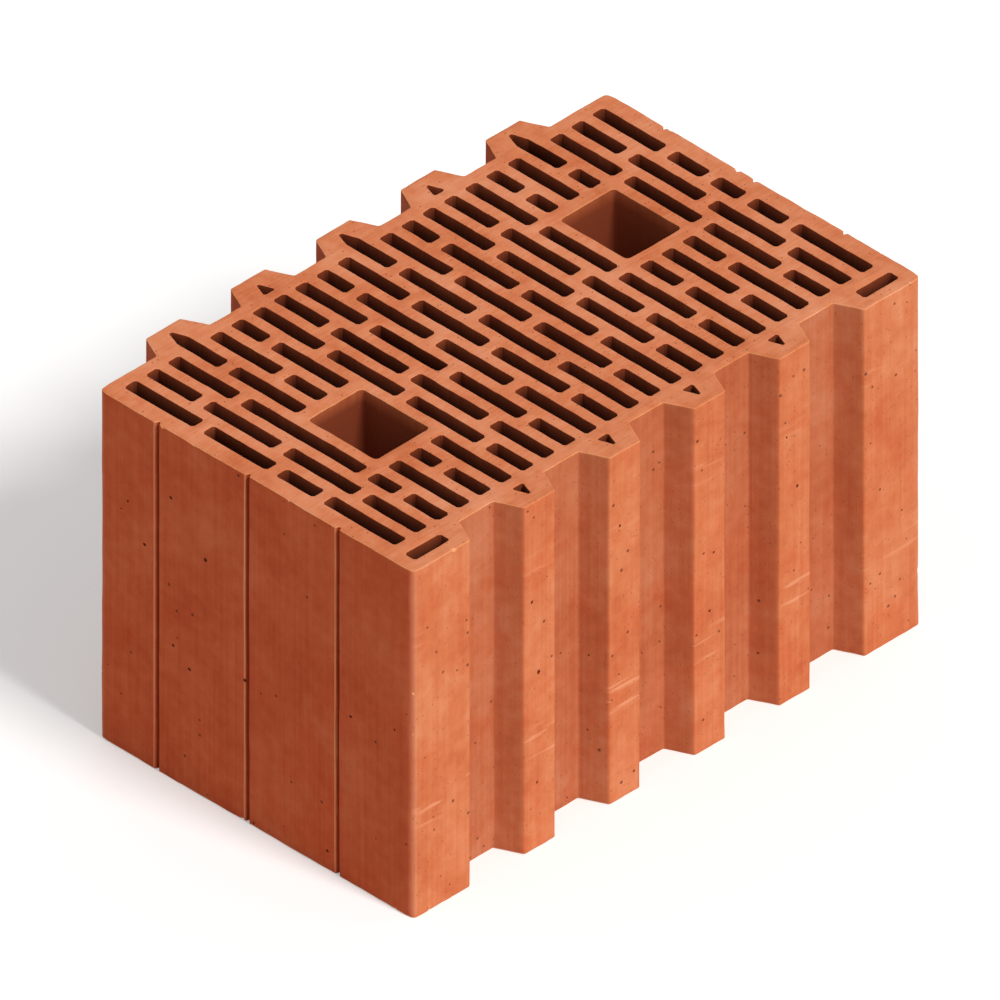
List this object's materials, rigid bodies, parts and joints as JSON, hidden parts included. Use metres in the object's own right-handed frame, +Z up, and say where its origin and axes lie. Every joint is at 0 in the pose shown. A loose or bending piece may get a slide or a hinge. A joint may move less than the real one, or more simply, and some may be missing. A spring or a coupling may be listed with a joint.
{
  "type": "hollow clay block",
  "caption": "Hollow fired clay wall block with rows of staggered upright slots, grip holes and tongue and groove ends.",
  "frame": {"origin": "centre of the block's outer box, on the bed face that it rests on", "axes": "+X along the wall from the tongued end to the grooved end, +Y through the wall, +Z up along the slots"},
  "size_m": [0.264, 0.4, 0.238],
  "materials": {
    "fired_clay": "matt, wire-cut and extruded"
  },
  "bodies": {
    "root": {"hollow_block": "fired_clay"}
  },
  "joints": []
}
